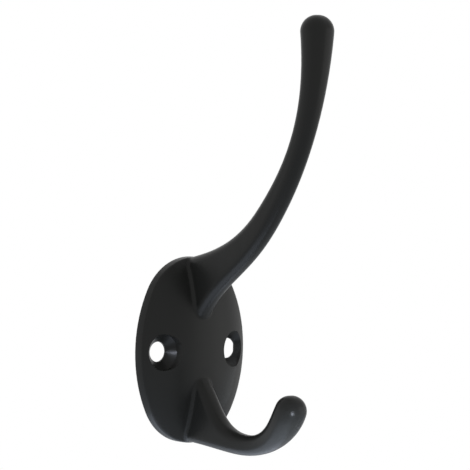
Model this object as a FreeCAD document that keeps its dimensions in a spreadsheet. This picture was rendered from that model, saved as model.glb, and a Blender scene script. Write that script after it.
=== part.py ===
"""Double robe hook: one casting with a domed oval wall plate and two swept arms.

Millimetres. The origin is the middle of the plate on the wall plane, +Z is up
and -Y points out from the wall. "Out" is the distance from the wall, "up" the
height above the middle of the plate.
"""
import FreeCAD
import Part
import Sketcher
import math
import os
from FreeCAD import Placement, Rotation, Vector

# Driving dimensions in millimetres and angles in degrees. Places along an arm are a
# share of its line, counted from the tip. A section's corners are a share of the
# roundest that its shorter side allows.
SIZES = {
    # Oval wall plate
    "plate_height": 46.05,
    "plate_width": 32.45,
    "plate_flank_turn": 26.2,
    "rim_height": 2.6,
    "crown_height": 7.4,
    "rim_rounding": 0.5,
    # Cored back
    "recess_depth": 1.9,
    "recess_land": 1.2,
    # Countersunk screw holes
    "hole_spacing": 22.2,
    "hole_diameter": 5.0,
    "hole_land": 0.5,
    "head_diameter": 9.0,
    "countersink_angle": 90.0,
    # Roots of both arms
    "root_rounding": 1.0,
    "root_plane": 2.0,
    "root_inset": 0.4,
    # Line of the long upper arm
    "upper_tip_out": 47.2,
    "upper_tip_up": 79.25,
    "upper_tip_straight": 1.5,
    "upper_foot_up": 18.15,
    # Sections of the upper arm
    "upper_root_width": 5.0,
    "upper_root_round": 0.92,
    "upper_root_low": -2.0,
    "upper_base_at": 0.95,
    "upper_base_width": 4.9,
    "upper_base_depth": 10.9,
    "upper_base_round": 0.92,
    "upper_shoulder_at": 0.85,
    "upper_shoulder_width": 4.8,
    "upper_shoulder_depth": 8.65,
    "upper_shoulder_round": 0.9,
    "upper_middle_at": 0.6,
    "upper_middle_width": 4.9,
    "upper_middle_depth": 6.4,
    "upper_middle_round": 0.9,
    "upper_waist_at": 0.35,
    "upper_waist_width": 5.0,
    "upper_waist_depth": 5.4,
    "upper_waist_round": 0.9,
    "upper_swell_at": 0.15,
    "upper_swell_width": 6.2,
    "upper_swell_depth": 6.1,
    "upper_swell_round": 0.92,
    "upper_tip_width": 7.8,
    "upper_tip_depth": 8.0,
    "upper_tip_round": 0.93,
    # Line of the short lower arm
    "lower_tip_out": 39.85,
    "lower_tip_up": -11.95,
    "lower_low_out": 24.0,
    "lower_low_up": -21.65,
    "lower_foot_up": -16.85,
    # Sections of the lower arm
    "lower_root_width": 5.2,
    "lower_root_round": 0.85,
    "lower_root_high": -2.0,
    "lower_base_at": 0.85,
    "lower_base_width": 5.1,
    "lower_base_depth": 10.95,
    "lower_base_round": 0.85,
    "lower_shoulder_at": 0.45,
    "lower_shoulder_width": 5.0,
    "lower_shoulder_depth": 6.5,
    "lower_shoulder_round": 0.88,
    "lower_waist_at": 0.95,
    "lower_waist_width": 4.7,
    "lower_waist_depth": 5.0,
    "lower_waist_round": 0.88,
    "lower_rise_at": 0.7,
    "lower_rise_width": 4.8,
    "lower_rise_depth": 5.2,
    "lower_rise_round": 0.9,
    "lower_swell_at": 0.4,
    "lower_swell_width": 6.1,
    "lower_swell_depth": 6.5,
    "lower_swell_round": 0.92,
    "lower_tip_width": 7.6,
    "lower_tip_depth": 7.6,
    "lower_tip_round": 0.93,
}


def size(name):
    """Value of one driving dimension."""
    return SIZES[name]


def cell(name):
    """Expression that reads one driving dimension from the sheet."""
    return "sizes." + name


doc = FreeCAD.newDocument("double_robe_hook")
sheet = doc.addObject("Spreadsheet::Sheet", "sizes")
for row, (alias, value) in enumerate(SIZES.items(), start=1):
    sheet.set("A%d" % row, alias)
    sheet.set("B%d" % row, str(value))
    sheet.setAlias("B%d" % row, alias)
doc.recompute()

body = doc.addObject("PartDesign::Body", "hook_casting")
body.Label = "hook_casting"

# Points of a line or arc in a sketch, and the sketch's own origin and axes.
START, END, CENTRE = 1, 2, 3
ORIGIN = (-1, 1)
X_AXIS, Y_AXIS = -1, -2

# How far cutting profiles run past the solid, the angle that faces the dome, and
# how close to a face a point lies on it.
CUT_MARGIN = 2.0
FACING_SWEEP = 120.0
EDGE_TOLERANCE = 0.001


def origin_plane(role):
    """One of the body's own origin planes."""
    return next(item for item in body.Origin.OriginFeatures if item.Role == role)


def sketch_on(role, name):
    """New sketch on an origin plane of the body."""
    sketch = body.newObject("Sketcher::SketchObject", name)
    sketch.AttachmentSupport = [(origin_plane(role), "")]
    sketch.MapMode = "FlatFace"
    return sketch


def sketch_across(line, edge, share, name):
    """New sketch square across an arm's line, at a share of that edge."""
    sketch = body.newObject("Sketcher::SketchObject", name)
    sketch.AttachmentSupport = [(line, edge)]
    sketch.MapMode = "NormalToEdge"
    sketch.setExpression("MapPathParameter", share)
    return sketch


def constrain(sketch, name, expression, *terms):
    """Adds a named dimension whose value follows an expression."""
    index = sketch.addConstraint(Sketcher.Constraint(*terms))
    sketch.renameConstraint(index, name)
    sketch.setExpression("Constraints." + name, expression)


def relate(sketch, *terms):
    """Adds a geometric relation."""
    sketch.addConstraint(Sketcher.Constraint(*terms))


def add_line(sketch, x1, y1, x2, y2):
    """Adds a straight line between two points."""
    return sketch.addGeometry(Part.LineSegment(Vector(x1, y1, 0), Vector(x2, y2, 0)))


def add_arc(sketch, x, y, radius, start, end):
    """Adds an arc about a point, from one angle round to another."""
    circle = Part.Circle(Vector(x, y, 0), Vector(0, 0, 1), radius)
    return sketch.addGeometry(Part.ArcOfCircle(circle, start, end))


def join_smooth(sketch, outline):
    """Joins each line or arc of an outline to the next without a kink."""
    for first, second in zip(outline, outline[1:]):
        relate(sketch, "Tangent", first, END, second, START)


def draw_oval(sketch, width, height, width_cell, height_cell):
    """Four tangent arcs about the sketch origin: noses above and below, flatter flanks."""
    turn = math.radians(size("plate_flank_turn"))
    lean = math.tan(turn / 2)
    nose = (width / 2 - height / 2 * lean) / (1 - lean)
    rise = height / 2 - nose
    flank = nose + rise / math.sin(turn)
    turn_cell = "(%s * 1 deg)" % cell("plate_flank_turn")
    lean_cell = "tan(%s / 2)" % turn_cell
    nose_cell = "((%s / 2 - %s / 2 * %s) / (1 - %s))" % (width_cell, height_cell, lean_cell, lean_cell)
    rise_cell = "(%s / 2 - %s)" % (height_cell, nose_cell)
    flank_cell = "(%s + %s / sin(%s))" % (nose_cell, rise_cell, turn_cell)
    inset = flank - width / 2
    top = add_arc(sketch, 0, rise, nose, turn, math.pi - turn)
    left = add_arc(sketch, inset, 0, flank, math.pi - turn, math.pi + turn)
    bottom = add_arc(sketch, 0, -rise, nose, math.pi + turn, 2 * math.pi - turn)
    right = add_arc(sketch, -inset, 0, flank, -turn, turn)
    join_smooth(sketch, (top, left, bottom, right, top))
    relate(sketch, "PointOnObject", top, CENTRE, Y_AXIS)
    relate(sketch, "PointOnObject", bottom, CENTRE, Y_AXIS)
    constrain(sketch, "top_rise", rise_cell, "DistanceY", *ORIGIN, top, CENTRE, rise)
    constrain(sketch, "bottom_rise", rise_cell, "DistanceY", bottom, CENTRE, *ORIGIN, rise)
    constrain(sketch, "top_nose", nose_cell, "Radius", top, nose)
    constrain(sketch, "bottom_nose", nose_cell, "Radius", bottom, nose)
    constrain(sketch, "left_flank", flank_cell, "Radius", left, flank)
    constrain(sketch, "right_flank", flank_cell, "Radius", right, flank)


def corner_radius(width, depth, roundness):
    """Corner radius of a section: a share of the most that its shorter side allows."""
    return roundness * min(width, depth) / 2


def corner_radius_cell(width_cell, depth_cell, round_cell):
    """The same radius as an expression on the sheet."""
    return "(%s * min(%s; %s) / 2)" % (round_cell, width_cell, depth_cell)


def draw_section(sketch, width, depth, roundness, width_cell, depth_cell, round_cell):
    """Section of an arm about the sketch origin: flat flanks and ends, round corners."""
    corner = corner_radius(width, depth, roundness)
    x, y = width / 2, depth / 2
    flat_x, flat_y = x - corner, y - corner
    quarter = math.pi / 2
    top = add_line(sketch, flat_x, y, -flat_x, y)
    top_left = add_arc(sketch, -flat_x, flat_y, corner, quarter, 2 * quarter)
    left = add_line(sketch, -x, flat_y, -x, -flat_y)
    bottom_left = add_arc(sketch, -flat_x, -flat_y, corner, 2 * quarter, 3 * quarter)
    bottom = add_line(sketch, -flat_x, -y, flat_x, -y)
    bottom_right = add_arc(sketch, flat_x, -flat_y, corner, 3 * quarter, 4 * quarter)
    right = add_line(sketch, x, -flat_y, x, flat_y)
    top_right = add_arc(sketch, flat_x, flat_y, corner, 0, quarter)
    join_smooth(sketch, (top, top_left, left, bottom_left, bottom, bottom_right, right, top_right, top))
    relate(sketch, "Horizontal", top)
    relate(sketch, "Horizontal", bottom)
    relate(sketch, "Vertical", left)
    relate(sketch, "Vertical", right)
    for number, arc in enumerate((top_left, bottom_left, bottom_right, top_right), start=1):
        constrain(sketch, "corner_%d" % number, corner_radius_cell(width_cell, depth_cell, round_cell),
                  "Radius", arc, corner)
    constrain(sketch, "left_half", width_cell + " / 2", "DistanceX", left, START, *ORIGIN, x)
    constrain(sketch, "right_half", width_cell + " / 2", "DistanceX", *ORIGIN, right, START, x)
    constrain(sketch, "top_half", depth_cell + " / 2", "DistanceY", *ORIGIN, top, START, y)
    constrain(sketch, "bottom_half", depth_cell + " / 2", "DistanceY", bottom, START, *ORIGIN, y)


def draw_half_section(sketch, width, depth, roundness, width_cell, depth_cell, round_cell):
    """Upper half of the same section, closed along the sketch's X axis."""
    corner = corner_radius(width, depth, roundness)
    x, y = width / 2, depth / 2
    flat_x, flat_y = x - corner, y - corner
    quarter = math.pi / 2
    right = add_line(sketch, x, 0, x, flat_y)
    top_right = add_arc(sketch, flat_x, flat_y, corner, 0, quarter)
    top = add_line(sketch, flat_x, y, -flat_x, y)
    top_left = add_arc(sketch, -flat_x, flat_y, corner, quarter, 2 * quarter)
    left = add_line(sketch, -x, flat_y, -x, 0)
    base = add_line(sketch, -x, 0, x, 0)
    join_smooth(sketch, (right, top_right, top, top_left, left))
    relate(sketch, "Coincident", left, END, base, START)
    relate(sketch, "Coincident", base, END, right, START)
    relate(sketch, "PointOnObject", base, START, X_AXIS)
    relate(sketch, "PointOnObject", base, END, X_AXIS)
    relate(sketch, "Horizontal", top)
    relate(sketch, "Vertical", left)
    relate(sketch, "Vertical", right)
    for number, arc in enumerate((top_left, top_right), start=1):
        constrain(sketch, "corner_%d" % number, corner_radius_cell(width_cell, depth_cell, round_cell),
                  "Radius", arc, corner)
    constrain(sketch, "left_half", width_cell + " / 2", "DistanceX", left, START, *ORIGIN, x)
    constrain(sketch, "right_half", width_cell + " / 2", "DistanceX", *ORIGIN, right, START, x)
    constrain(sketch, "top_half", depth_cell + " / 2", "DistanceY", *ORIGIN, top, START, y)


# Oval plate: an upright oval as thick as the crown, faced off to a dome.
plate_outline = sketch_on("XZ_Plane", "plate_outline")
draw_oval(plate_outline, size("plate_width"), size("plate_height"),
          cell("plate_width"), cell("plate_height"))
plate = body.newObject("PartDesign::Pad", "plate")
plate.Profile = plate_outline
plate.setExpression("Length", cell("crown_height"))
doc.recompute()

# The dome is an arc across the plate, turned about a level axis behind the wall,
# so that the rim keeps one height all round the oval.
bulge = size("crown_height") - size("rim_height")
bulge_cell = "(%s - %s)" % (cell("crown_height"), cell("rim_height"))


def arc_radius(half_chord):
    """Radius of an arc that rises by the bulge over half its chord."""
    return (half_chord ** 2 + bulge ** 2) / (2 * bulge)


def arc_radius_cell(chord_cell):
    """The same radius as an expression on the sheet."""
    return "((%s / 2) ^ 2 + %s ^ 2) / (2 * %s)" % (chord_cell, bulge_cell, bulge_cell)


across_radius = arc_radius(size("plate_width") / 2)
along_radius = arc_radius(size("plate_height") / 2)
axis_y = along_radius - size("crown_height")
half_cut = size("plate_width") / 2 + CUT_MARGIN
front_y = -(size("crown_height") + bulge + CUT_MARGIN)
sweep = math.asin(half_cut / across_radius)
side_y = across_radius - size("crown_height") - across_radius * math.cos(sweep)
facing = sketch_on("XY_Plane", "dome_facing")
crest = add_arc(facing, 0, across_radius - size("crown_height"), across_radius,
                1.5 * math.pi - sweep, 1.5 * math.pi + sweep)
right_side = add_line(facing, half_cut, side_y, half_cut, front_y)
front_side = add_line(facing, half_cut, front_y, -half_cut, front_y)
left_side = add_line(facing, -half_cut, front_y, -half_cut, side_y)
axis_ends = Vector(-half_cut, axis_y, 0), Vector(half_cut, axis_y, 0)
turning_axis = facing.addGeometry(Part.LineSegment(*axis_ends), True)
outline = (crest, right_side, front_side, left_side)
for first, second in zip(outline, outline[1:] + outline[:1]):
    relate(facing, "Coincident", first, END, second, START)
relate(facing, "Vertical", right_side)
relate(facing, "Vertical", left_side)
relate(facing, "PointOnObject", crest, CENTRE, Y_AXIS)
relate(facing, "Symmetric", front_side, START, front_side, END, Y_AXIS)
relate(facing, "Symmetric", turning_axis, START, turning_axis, END, Y_AXIS)
constrain(facing, "crest_radius", arc_radius_cell(cell("plate_width")), "Radius", crest, across_radius)
constrain(facing, "crest_centre", "%s - %s" % (arc_radius_cell(cell("plate_width")), cell("crown_height")),
          "DistanceY", *ORIGIN, crest, CENTRE, across_radius - size("crown_height"))
cut_width_cell = "%s + %s" % (cell("plate_width"), 2 * CUT_MARGIN)
constrain(facing, "cut_width", cut_width_cell,
          "DistanceX", front_side, END, front_side, START, 2 * half_cut)
constrain(facing, "cut_front", "%s + %s + %s" % (cell("crown_height"), bulge_cell, CUT_MARGIN),
          "DistanceY", front_side, START, *ORIGIN, -front_y)
constrain(facing, "axis_length", cut_width_cell, "Distance", turning_axis, 2 * half_cut)
constrain(facing, "axis_behind", "%s - %s" % (arc_radius_cell(cell("plate_height")), cell("crown_height")),
          "DistanceY", *ORIGIN, turning_axis, START, axis_y)
doc.recompute()
dome = body.newObject("PartDesign::Groove", "dome")
dome.Profile = facing
dome.ReferenceAxis = (facing, ["Axis0"])
dome.Angle = FACING_SWEEP
dome.Midplane = True
doc.recompute()
# The front edge of the rim is softly rounded all round.
rim_edges = []
for index, edge in enumerate(dome.Shape.Edges, start=1):
    box = edge.BoundBox
    if box.YMax < -size("rim_height") / 4:
        rim_edges.append("Edge%d" % index)
rim = body.newObject("PartDesign::Fillet", "rim_rounding")
rim.Base = (dome, rim_edges)
rim.setExpression("Radius", cell("rim_rounding"))
doc.recompute()


def root_section(name, low, high):
    """Upright section on a plane inside the plate, from one height to another."""
    sketch = sketch_on("XZ_Plane", name)
    low_value, low_cell = low
    high_value, high_cell = high
    sketch.AttachmentOffset = Placement(
        Vector(0, (low_value + high_value) / 2, size("root_plane")), Rotation())
    sketch.setExpression("AttachmentOffset.Base.y", "(%s + %s) / 2" % (low_cell, high_cell))
    sketch.setExpression("AttachmentOffset.Base.z", cell("root_plane"))
    draw_section(sketch, size(name + "_width"), high_value - low_value, size(name + "_round"),
                 cell(name + "_width"), "(%s - %s)" % (high_cell, low_cell), cell(name + "_round"))
    return sketch


def arm_section(line, edge, name):
    """Section across an arm's line, sized by the cells that carry its name."""
    sketch = sketch_across(line, edge, cell(name + "_at"), name)
    draw_section(sketch, size(name + "_width"), size(name + "_depth"), size(name + "_round"),
                 cell(name + "_width"), cell(name + "_depth"), cell(name + "_round"))
    return sketch


def tip_sketch(line, name, straight, draw, label):
    """Sketch across the tip end of an arm's line, moved on by a straight length."""
    sketch = body.newObject("Sketcher::SketchObject", label)
    sketch.AttachmentSupport = [(line, "Edge1")]
    sketch.MapMode = "NormalToEdge"
    sketch.MapPathParameter = 0.0
    if straight:
        sketch.AttachmentOffset = Placement(Vector(0, 0, size(straight)), Rotation())
        sketch.setExpression("AttachmentOffset.Base.z", cell(straight))
    draw(sketch, size(name + "_width"), size(name + "_depth"), size(name + "_round"),
         cell(name + "_width"), cell(name + "_depth"), cell(name + "_round"))
    return sketch


def add_loft(name, sections):
    """Smooth loft through sections given from the root to the tip."""
    loft = body.newObject("PartDesign::AdditiveLoft", name)
    loft.Profile = sections[0]
    loft.Sections = sections[1:]
    doc.recompute()
    return loft


def add_tip(name, profile):
    """Rounded end of an arm: half of its last section, turned about its own width."""
    tip = body.newObject("PartDesign::Revolution", name)
    tip.Profile = profile
    tip.ReferenceAxis = (profile, ["H_Axis"])
    tip.Angle = 180.0
    doc.recompute()
    return tip


# Upper arm: its line is one arc that leaves the plate at the crown's height and
# ends upright, with a short straight run to the middle of the tip.
upper_line = sketch_on("YZ_Plane", "upper_line")
end_z = size("upper_tip_up") - size("upper_tip_straight")
run = size("upper_tip_out") - size("crown_height")
climb = end_z - size("upper_foot_up")
bend = (run ** 2 + climb ** 2) / (2 * run)
upper_bend = add_arc(upper_line, bend - size("upper_tip_out"), end_z, bend,
                     math.pi, math.pi + math.asin(climb / bend))
relate(upper_line, "Horizontal", upper_bend, START, upper_bend, CENTRE)
constrain(upper_line, "tip_out", cell("upper_tip_out"),
          "DistanceX", upper_bend, START, *ORIGIN, size("upper_tip_out"))
constrain(upper_line, "tip_up", "%s - %s" % (cell("upper_tip_up"), cell("upper_tip_straight")),
          "DistanceY", *ORIGIN, upper_bend, START, end_z)
constrain(upper_line, "foot_out", cell("crown_height"),
          "DistanceX", upper_bend, END, *ORIGIN, size("crown_height"))
constrain(upper_line, "foot_up", cell("upper_foot_up"),
          "DistanceY", *ORIGIN, upper_bend, END, size("upper_foot_up"))
doc.recompute()

plate_top = size("plate_height") / 2 - size("root_inset")
plate_top_cell = "(%s / 2 - %s)" % (cell("plate_height"), cell("root_inset"))
upper_sections = [root_section("upper_root",
                               (size("upper_root_low"), cell("upper_root_low")),
                               (plate_top, plate_top_cell))]
for part_name in ("base", "shoulder", "middle", "waist", "swell"):
    upper_sections.append(arm_section(upper_line, "Edge1", "upper_" + part_name))
upper_sections.append(tip_sketch(upper_line, "upper_tip", "upper_tip_straight", draw_section, "upper_end"))
doc.recompute()
upper_arm = add_loft("upper_arm", upper_sections)
upper_tip = add_tip("upper_tip", tip_sketch(
    upper_line, "upper_tip", "upper_tip_straight", draw_half_section, "upper_tip_half"))

# Lower arm: two arcs that meet at its lowest point, one back to the plate and one
# up to the tip.
lower_line = sketch_on("YZ_Plane", "lower_line")
low_y = -size("lower_low_out")
low_z = size("lower_low_up")
tip_run = size("lower_tip_out") - size("lower_low_out")
tip_climb = size("lower_tip_up") - low_z
foot_run = size("lower_low_out") - size("crown_height")
foot_climb = size("lower_foot_up") - low_z
tip_bend = (tip_run ** 2 + tip_climb ** 2) / (2 * tip_climb)
foot_bend = (foot_run ** 2 + foot_climb ** 2) / (2 * foot_climb)
outer_arc = add_arc(lower_line, low_y, low_z + tip_bend, tip_bend,
                    1.5 * math.pi - math.asin(tip_run / tip_bend), 1.5 * math.pi)
inner_arc = add_arc(lower_line, low_y, low_z + foot_bend, foot_bend,
                    1.5 * math.pi, 1.5 * math.pi + math.asin(foot_run / foot_bend))
relate(lower_line, "Coincident", outer_arc, END, inner_arc, START)
relate(lower_line, "Vertical", outer_arc, END, outer_arc, CENTRE)
relate(lower_line, "Vertical", inner_arc, START, inner_arc, CENTRE)
constrain(lower_line, "tip_out", cell("lower_tip_out"),
          "DistanceX", outer_arc, START, *ORIGIN, size("lower_tip_out"))
constrain(lower_line, "tip_up", cell("lower_tip_up"),
          "DistanceY", *ORIGIN, outer_arc, START, size("lower_tip_up"))
constrain(lower_line, "low_out", cell("lower_low_out"),
          "DistanceX", outer_arc, END, *ORIGIN, size("lower_low_out"))
constrain(lower_line, "low_up", cell("lower_low_up"),
          "DistanceY", *ORIGIN, outer_arc, END, size("lower_low_up"))
constrain(lower_line, "foot_out", cell("crown_height"),
          "DistanceX", inner_arc, END, *ORIGIN, size("crown_height"))
constrain(lower_line, "foot_up", cell("lower_foot_up"),
          "DistanceY", *ORIGIN, inner_arc, END, size("lower_foot_up"))
doc.recompute()

lower_sections = [root_section("lower_root",
                               (-plate_top, "(-%s)" % plate_top_cell),
                               (size("lower_root_high"), cell("lower_root_high")))]
for part_name, edge_name in (("base", "Edge2"), ("shoulder", "Edge2"), ("waist", "Edge1"),
                             ("rise", "Edge1"), ("swell", "Edge1")):
    lower_sections.append(arm_section(lower_line, edge_name, "lower_" + part_name))
lower_sections.append(tip_sketch(lower_line, "lower_tip", None, draw_section, "lower_end"))
doc.recompute()
lower_arm = add_loft("lower_arm", lower_sections)
lower_tip = add_tip("lower_tip", tip_sketch(
    lower_line, "lower_tip", None, draw_half_section, "lower_tip_half"))


# The arms run into the plate's dome with a small rounding.
def root_edges(shape):
    """Names of the edges where the arms leave the plate: on its skin, off its own edges."""
    plate_skin = rim.Shape.Shells[0]
    plate_edges = Part.Compound(rim.Shape.Edges)
    names = []
    for index, edge in enumerate(shape.Edges, start=1):
        first = edge.FirstParameter
        length = edge.LastParameter - first
        points = [Part.Vertex(edge.valueAt(first + length * share)) for share in (0.2, 0.5, 0.8)]
        on_skin = all(plate_skin.distToShape(point)[0] < EDGE_TOLERANCE for point in points)
        on_edge = all(plate_edges.distToShape(point)[0] < EDGE_TOLERANCE for point in points)
        if on_skin and not on_edge:
            names.append("Edge%d" % index)
    return names


roots = body.newObject("PartDesign::Fillet", "root_rounding")
roots.Base = (lower_tip, root_edges(lower_tip.Shape))
roots.setExpression("Radius", cell("root_rounding"))
doc.recompute()

# Countersunk screw hole on the right, turned about its own axis and mirrored. The
# cone runs out into a straight wall that clears the screw head through the dome.
hole_x = size("hole_spacing") / 2
hole_r, head_r = size("hole_diameter") / 2, size("head_diameter") / 2
cone_back = size("recess_depth") + size("hole_land")
cone_front = cone_back + (head_r - hole_r) / math.tan(math.radians(size("countersink_angle") / 2))
open_front = size("crown_height") + CUT_MARGIN
hole_profile = sketch_on("XY_Plane", "hole_profile")
corners = [Vector(hole_x, CUT_MARGIN, 0), Vector(hole_x, -open_front, 0),
           Vector(hole_x + head_r, -open_front, 0), Vector(hole_x + head_r, -cone_front, 0),
           Vector(hole_x + hole_r, -cone_back, 0), Vector(hole_x + hole_r, CUT_MARGIN, 0)]
sides = [hole_profile.addGeometry(Part.LineSegment(corners[i], corners[(i + 1) % len(corners)]))
         for i in range(len(corners))]
hole_axis, front, head_wall, cone, hole_wall, back = sides
turning_line = hole_profile.addGeometry(Part.LineSegment(corners[0], corners[1]), True)
for i, side in enumerate(sides):
    relate(hole_profile, "Coincident", side, END, sides[(i + 1) % len(sides)], START)
for side in (hole_axis, head_wall, hole_wall):
    relate(hole_profile, "Vertical", side)
for side in (front, back):
    relate(hole_profile, "Horizontal", side)
relate(hole_profile, "Coincident", turning_line, START, hole_axis, START)
relate(hole_profile, "Coincident", turning_line, END, hole_axis, END)
hole_r_cell, head_r_cell = cell("hole_diameter") + " / 2", cell("head_diameter") + " / 2"
cone_back_cell = "%s + %s" % (cell("recess_depth"), cell("hole_land"))
constrain(hole_profile, "hole_place", cell("hole_spacing") + " / 2",
          "DistanceX", *ORIGIN, hole_axis, START, hole_x)
constrain(hole_profile, "back_margin", str(CUT_MARGIN),
          "DistanceY", *ORIGIN, hole_axis, START, CUT_MARGIN)
constrain(hole_profile, "front_margin", "%s + %s" % (cell("crown_height"), CUT_MARGIN),
          "DistanceY", hole_axis, END, *ORIGIN, open_front)
constrain(hole_profile, "head_radius", head_r_cell, "DistanceX", front, START, front, END, head_r)
constrain(hole_profile, "hole_radius", hole_r_cell, "DistanceX", back, END, back, START, hole_r)
constrain(hole_profile, "cone_back", cone_back_cell, "DistanceY", cone, END, *ORIGIN, cone_back)
constrain(hole_profile, "cone_front",
          "%s + (%s - %s) / tan(%s * 1 deg / 2)" % (cone_back_cell, head_r_cell, hole_r_cell,
                                                    cell("countersink_angle")),
          "DistanceY", cone, START, *ORIGIN, cone_front)
doc.recompute()
hole = body.newObject("PartDesign::Groove", "screw_hole")
hole.Profile = hole_profile
hole.ReferenceAxis = (hole_profile, ["Axis0"])
hole.Angle = 360.0
doc.recompute()
both_holes = body.newObject("PartDesign::Mirrored", "both_screw_holes")
both_holes.Originals = [hole]
both_holes.MirrorPlane = (origin_plane("YZ_Plane"), [""])
body.Tip = both_holes
doc.recompute()

# The back is cored out to a shallow recess inside a flat land that sits on the wall.
recess_outline = sketch_on("XZ_Plane", "recess_outline")
draw_oval(recess_outline, size("plate_width") - 2 * size("recess_land"),
          size("plate_height") - 2 * size("recess_land"),
          "(%s - 2 * %s)" % (cell("plate_width"), cell("recess_land")),
          "(%s - 2 * %s)" % (cell("plate_height"), cell("recess_land")))
recess = body.newObject("PartDesign::Pocket", "recess")
recess.Profile = recess_outline
recess.Reversed = True
recess.setExpression("Length", cell("recess_depth"))
doc.recompute()

# Nothing is written unless every feature stands and every cut has cut.
for item in doc.Objects:
    if "Invalid" in item.State or "Error" in item.State:
        raise RuntimeError("%s failed: %s" % (item.Name, item.State))
for before, after, sign in ((plate, dome, -1), (rim, upper_arm, 1), (upper_arm, upper_tip, 1),
                            (upper_tip, lower_arm, 1), (lower_arm, lower_tip, 1), (lower_tip, roots, 1),
                            (roots, hole, -1), (hole, both_holes, -1), (both_holes, recess, -1)):
    if sign * (after.Shape.Volume - before.Shape.Volume) <= 0:
        raise RuntimeError("%s changed nothing" % after.Name)
casting = body.Shape
if casting.isNull() or not casting.isValid() or len(casting.Solids) != 1:
    raise RuntimeError("the casting is not one valid solid")

os.makedirs("parts", exist_ok=True)
casting.exportStep(os.path.join("parts", body.Label + ".step"))
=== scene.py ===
import math
import bpy
import numpy as np
from mathutils import Matrix


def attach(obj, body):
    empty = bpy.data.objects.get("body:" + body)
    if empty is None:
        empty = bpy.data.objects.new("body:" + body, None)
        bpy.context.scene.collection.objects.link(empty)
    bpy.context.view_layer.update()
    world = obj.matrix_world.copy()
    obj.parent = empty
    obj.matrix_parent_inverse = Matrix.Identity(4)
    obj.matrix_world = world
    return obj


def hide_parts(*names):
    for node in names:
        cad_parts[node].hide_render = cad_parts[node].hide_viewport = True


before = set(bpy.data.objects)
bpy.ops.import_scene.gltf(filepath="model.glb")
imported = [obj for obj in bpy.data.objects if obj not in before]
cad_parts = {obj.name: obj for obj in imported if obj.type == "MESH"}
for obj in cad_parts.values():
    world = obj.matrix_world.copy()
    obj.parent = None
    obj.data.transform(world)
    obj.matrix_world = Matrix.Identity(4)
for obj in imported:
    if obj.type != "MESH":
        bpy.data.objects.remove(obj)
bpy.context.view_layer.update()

# Hook casting: a domed oval wall plate, a long and a short arm with rounded tips,
# cast in zinc alloy as one piece, blasted and powder coated satin black. It is
# screwed to the wall through the countersunk holes beside the arms.
COAT_BLACK = (0.0101, 0.0104, 0.0098, 1.0)
COAT_GREY = (0.0134, 0.0137, 0.0130, 1.0)
COAT_ROUGHNESS = 0.32
COAT_IOR = 1.5
SHEEN = 0.12
FLOW = {"Scale": 70.0, "Detail": 3.0}
PEEL = {"Scale": 1500.0, "Detail": 2.0}
GRAIN = {"Scale": 5200.0, "Detail": 1.0}
NOISE_MIDDLE = 0.5
COARSE_SHARE, FINE_SHARE = 0.7, 0.3
FLOW_GLOSS, GRAIN_GLOSS = 0.08, 0.06
PEEL_STRENGTH = 0.16
PEEL_DEPTH = 0.00003
# The two colour inputs and the colour output of a Mix node.
MIX_FIRST, MIX_SECOND, MIX_RESULT = 6, 7, 2
# Corners are joined where they agree to a tenth of a micrometre.
JOIN_DIGITS = 7
EDGE_ANGLE = math.radians(32)


class Socket:
    """One output of a shader node. Arithmetic on it adds Math nodes to its tree."""

    def __init__(self, tree, output=None):
        self.tree = tree
        self.output = output

    def node(self, kind, settings=None, inputs=None, result=0):
        """Adds a node of that type: settings first, then values or links of its sockets."""
        made = self.tree.nodes.new(kind)
        for name, value in (settings or {}).items():
            setattr(made, name, value)
        for name, value in (inputs or {}).items():
            if isinstance(value, Socket):
                self.tree.links.new(value.output, made.inputs[name])
            else:
                made.inputs[name].default_value = value
        return Socket(self.tree, made.outputs[result]) if len(made.outputs) else made

    def seen(self):
        """One for rays from the camera, straight or by reflection or through glass, else none."""
        path = self.node("ShaderNodeLightPath").output.node.outputs
        ways = [Socket(self.tree, path[way]) for way in
                ("Is Camera Ray", "Is Glossy Ray", "Is Transmission Ray")]
        return self.maths("MINIMUM", ways[0] + ways[1] + ways[2], 1.0)

    def maths(self, operation, first, second):
        """A Math node on two values."""
        return self.node("ShaderNodeMath", {"operation": operation}, {0: first, 1: second})

    def __add__(self, other):
        return self.maths("ADD", self, other)

    def __sub__(self, other):
        return self.maths("SUBTRACT", self, other)

    def __rsub__(self, other):
        return self.maths("SUBTRACT", other, self)

    def __mul__(self, other):
        return self.maths("MULTIPLY", self, other)

    __radd__ = __add__
    __rmul__ = __mul__


def powder_coat():
    """Satin black powder coat: fine orange peel, faint flow in tone and gloss."""
    coat = bpy.data.materials.new("satin_black_powder_coat")
    coat.use_nodes = True
    coat.node_tree.nodes.clear()
    web = Socket(coat.node_tree)
    place = web.node("ShaderNodeTexCoord", result="Object")
    flow, peel, grain = [web.node("ShaderNodeTexNoise", None, {"Vector": place, **noise}, "Fac")
                         for noise in (FLOW, PEEL, GRAIN)]
    tone = flow * COARSE_SHARE + grain * FINE_SHARE
    colour = web.node("ShaderNodeMix", {"data_type": "RGBA"},
                      {"Factor": tone, MIX_FIRST: COAT_BLACK, MIX_SECOND: COAT_GREY}, MIX_RESULT)
    gloss = (COAT_ROUGHNESS + (flow - NOISE_MIDDLE) * FLOW_GLOSS
             + (grain - NOISE_MIDDLE) * GRAIN_GLOSS)
    relief = peel * COARSE_SHARE + grain * FINE_SHARE
    normal = web.node("ShaderNodeBump", None, {"Height": relief, "Strength": PEEL_STRENGTH,
                                               "Distance": PEEL_DEPTH})
    shader = web.node("ShaderNodeBsdfPrincipled", None,
                      {"Base Color": colour, "Roughness": gloss, "Normal": normal,
                       "IOR": COAT_IOR, "Specular IOR Level": SHEEN})
    web.node("ShaderNodeOutputMaterial", None, {"Surface": shader})
    return coat


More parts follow.
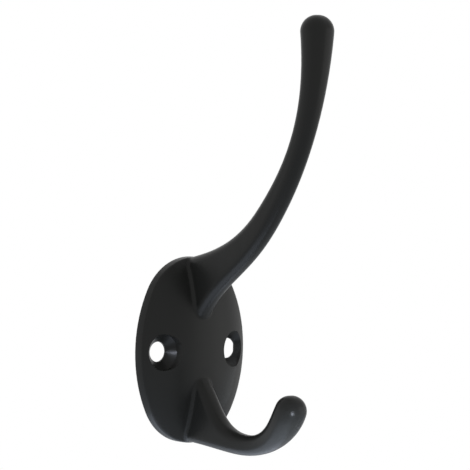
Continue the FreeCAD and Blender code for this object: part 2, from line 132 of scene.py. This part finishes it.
def smooth_copy(node, name):
    """The casting's own surface with its corners joined, shaded smooth up to an edge angle."""
    source = node.data
    corners = np.empty(len(source.vertices) * 3, np.float32)
    source.vertices.foreach_get("co", corners)
    faces = np.empty(len(source.loops), np.int32)
    source.loops.foreach_get("vertex_index", faces)
    points, joined = np.unique(np.round(corners.reshape(-1, 3), JOIN_DIGITS), axis=0,
                               return_inverse=True)
    triangles = joined.reshape(-1)[faces].reshape(-1, 3)
    a, b, c = triangles.T
    triangles = triangles[(a != b) & (b != c) & (c != a)]
    mesh = bpy.data.meshes.new(name)
    mesh.from_pydata(points.tolist(), [], triangles.tolist())
    mesh.validate()
    mesh.polygons.foreach_set("use_smooth", np.ones(len(mesh.polygons), bool))
    mesh.set_sharp_from_angle(angle=EDGE_ANGLE)
    piece = bpy.data.objects.new(name, mesh)
    bpy.context.collection.objects.link(piece)
    return piece


casting = smooth_copy(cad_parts["hook_casting"], "hook_surface")
casting.data.materials.append(powder_coat())
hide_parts("hook_casting")
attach(casting, "root")

# Floor: a round table top in matt white paint, below the hook, which hangs free as on a
# wall. It stays below the picture, and is kept pale to the camera and in reflections.
FLOOR_LEVEL = -0.12
FLOOR_RADIUS = 0.34
FLOOR_GLOW = 0.10
FLOOR_COLOUR = (0.86, 0.90, 0.95, 1.0)
FLOOR_ROUGHNESS = 0.8
NO_GLOW = (0, 0, 0, 1)


def disc(radius, height, rings=12, spokes=96):
    """Points at radius times a share, turned by an angle, on a level plane, about a middle point."""
    share = np.linspace(0, 1, rings + 1)[1:, None] * radius
    turn = np.linspace(0, 2 * np.pi, spokes, endpoint=False)[None, :]
    flat = np.full((rings, spokes), height)
    ring = np.stack([share * np.cos(turn), share * np.sin(turn), flat], -1)
    points = np.concatenate([[[0, 0, height]], ring.reshape(-1, 3)])
    k = np.arange(spokes)
    after = (k + 1) % spokes
    middle = np.stack([np.zeros(spokes, int), 1 + k, 1 + after], -1)
    row = 1 + spokes * np.arange(rings - 1)[:, None]
    quads = np.stack([row + k, row + spokes + k, row + spokes + after, row + after], -1)
    return points, middle.tolist() + quads.reshape(-1, 4).tolist()


floor_mesh = bpy.data.meshes.new("floor")
floor_points, floor_faces = disc(FLOOR_RADIUS, FLOOR_LEVEL)
floor_mesh.from_pydata(floor_points.tolist(), [], floor_faces)
floor = bpy.data.objects.new("floor", floor_mesh)
bpy.context.collection.objects.link(floor)
paint = bpy.data.materials.new("matt_white_paint")
paint.use_nodes = True
paint.node_tree.nodes.clear()
brush = Socket(paint.node_tree)
glow = brush.node("ShaderNodeMix", {"data_type": "RGBA"},
                  {"Factor": brush.seen(), MIX_FIRST: NO_GLOW, MIX_SECOND: FLOOR_COLOUR}, MIX_RESULT)
matt = brush.node("ShaderNodeBsdfPrincipled", None,
                  {"Base Color": FLOOR_COLOUR, "Roughness": FLOOR_ROUGHNESS,
                   "Emission Color": glow, "Emission Strength": FLOOR_GLOW})
brush.node("ShaderNodeOutputMaterial", None, {"Surface": matt})
floor_mesh.materials.append(paint)

# Camera: to the hook's left and slightly above, a long lens from one metre, with
# the small turn about its own axis that the hook has in the picture.
AZIMUTH = math.radians(-40.0)
ELEVATION = math.radians(3.30)
ROLL = math.radians(0.91)
DISTANCE = 1.0
PIXELS_PER_METRE = 4040.0
PICTURE_WIDTH = 470
SENSOR_WIDTH = 36.0
AIM_RIGHT = 0.01203
AIM_UP = 0.02825
NEAR_LIMIT = 0.05
FAR_LIMIT = 10.0


def placed(across, upwards, backwards, place):
    """The matrix with these three axes as its columns, at this place."""
    turned = np.stack([across, upwards, backwards], 1)
    return Matrix([[*row, at] for row, at in zip(turned, place)] + [[0, 0, 0, 1]])


level = np.array([math.cos(AZIMUTH), math.sin(AZIMUTH), 0])
back = np.array([math.sin(AZIMUTH) * math.cos(ELEVATION),
                 -math.cos(AZIMUTH) * math.cos(ELEVATION),
                 math.sin(ELEVATION)])
upright = np.cross(back, level)
right = math.cos(ROLL) * level + math.sin(ROLL) * upright
up = math.cos(ROLL) * upright - math.sin(ROLL) * level
lens = bpy.data.cameras.new("camera")
lens.sensor_width = SENSOR_WIDTH
lens.lens = SENSOR_WIDTH * PIXELS_PER_METRE * DISTANCE / PICTURE_WIDTH
lens.clip_start = NEAR_LIMIT
lens.clip_end = FAR_LIMIT
camera = bpy.data.objects.new("camera", lens)
camera.matrix_world = placed(right, up, back, AIM_RIGHT * right + AIM_UP * up + DISTANCE * back)
bpy.context.collection.objects.link(camera)
bpy.context.scene.camera = camera

# Surround: plain white to the camera, in reflections and through glass, with a lower
# level for the even light that it sheds on the hook.
AMBIENT_LEVEL = 0.80
WHITE = (1, 1, 1, 1)
world = bpy.data.worlds.new("studio")
world.use_nodes = True
world.node_tree.nodes.clear()
sky = Socket(world.node_tree)
seen = sky.seen()
backdrop = sky.node("ShaderNodeBackground", None,
                    {"Color": WHITE, "Strength": seen + (1 - seen) * AMBIENT_LEVEL})
sky.node("ShaderNodeOutputWorld", None, {"Surface": backdrop})
bpy.context.scene.world = world

# Lamps: area lamps set from the camera's point of view. A window on each side, a panel
# below that lights the lower arm, and two narrow beams that put the small glints on the
# lower tip and in the left countersink. Light from a beam isn't passed on by what it hits.
HOOK_MIDDLE = (0, -0.02, 0.02)
OPEN_SPREAD = 180
BEAM_SPREAD = 1
WINDOW_BOUNCES, BEAM_BOUNCES = 12, 0
# A lamp whose slope passes this is taken to hang straight above or below its target.
STRAIGHT = 0.99


def soft_box(name, side, height, front, size, watts, colour, target, spread):
    """Area lamp that faces a target, so far from it to the camera's right, up and front."""
    lamp = bpy.data.lights.new(name, "AREA")
    lamp.shape = "RECTANGLE"
    lamp.size, lamp.size_y = size
    lamp.energy = watts
    lamp.color = colour
    lamp.spread = math.radians(spread)
    lamp.cycles.max_bounces = BEAM_BOUNCES if spread == BEAM_SPREAD else WINDOW_BOUNCES
    place = target + side * level + height * np.array([0, 0, 1]) + front * back
    away = (place - target) / np.linalg.norm(place - target)
    across = np.cross(upright, away) if abs(away[2]) < STRAIGHT else level
    across = across / np.linalg.norm(across)
    box = bpy.data.objects.new(name, lamp)
    box.matrix_world = placed(across, np.cross(away, across), away, place)
    bpy.context.collection.objects.link(box)


soft_box("left_window", side=-0.70, height=-0.15, front=0.38, size=(0.55, 0.55), watts=0.12,
         colour=(1.0, 1.0, 0.94), target=HOOK_MIDDLE, spread=OPEN_SPREAD)
soft_box("right_window", side=0.79, height=0.0, front=0.02, size=(0.60, 0.60), watts=1.0,
         colour=(1.0, 1.0, 0.98), target=HOOK_MIDDLE, spread=OPEN_SPREAD)
soft_box("low_panel", side=0.0, height=-0.10, front=0.0, size=(0.12, 0.12), watts=0.110,
         colour=(0.74, 0.83, 1.0), target=(-0.03, 0.0, 0.02), spread=OPEN_SPREAD)
soft_box("tip_beam", side=0.25, height=-0.28, front=1.0, size=(0.012, 0.014), watts=0.0036,
         colour=(0.80, 0.87, 1.0), target=(0.002, -0.041, -0.021), spread=BEAM_SPREAD)
soft_box("hole_beam", side=-0.04, height=-0.01, front=0.20, size=(0.002, 0.002), watts=0.000015,
         colour=(0.80, 0.85, 1.0), target=(-0.0075, -0.004, -0.001), spread=BEAM_SPREAD)

bpy.context.scene.view_settings.view_transform = "Standard"
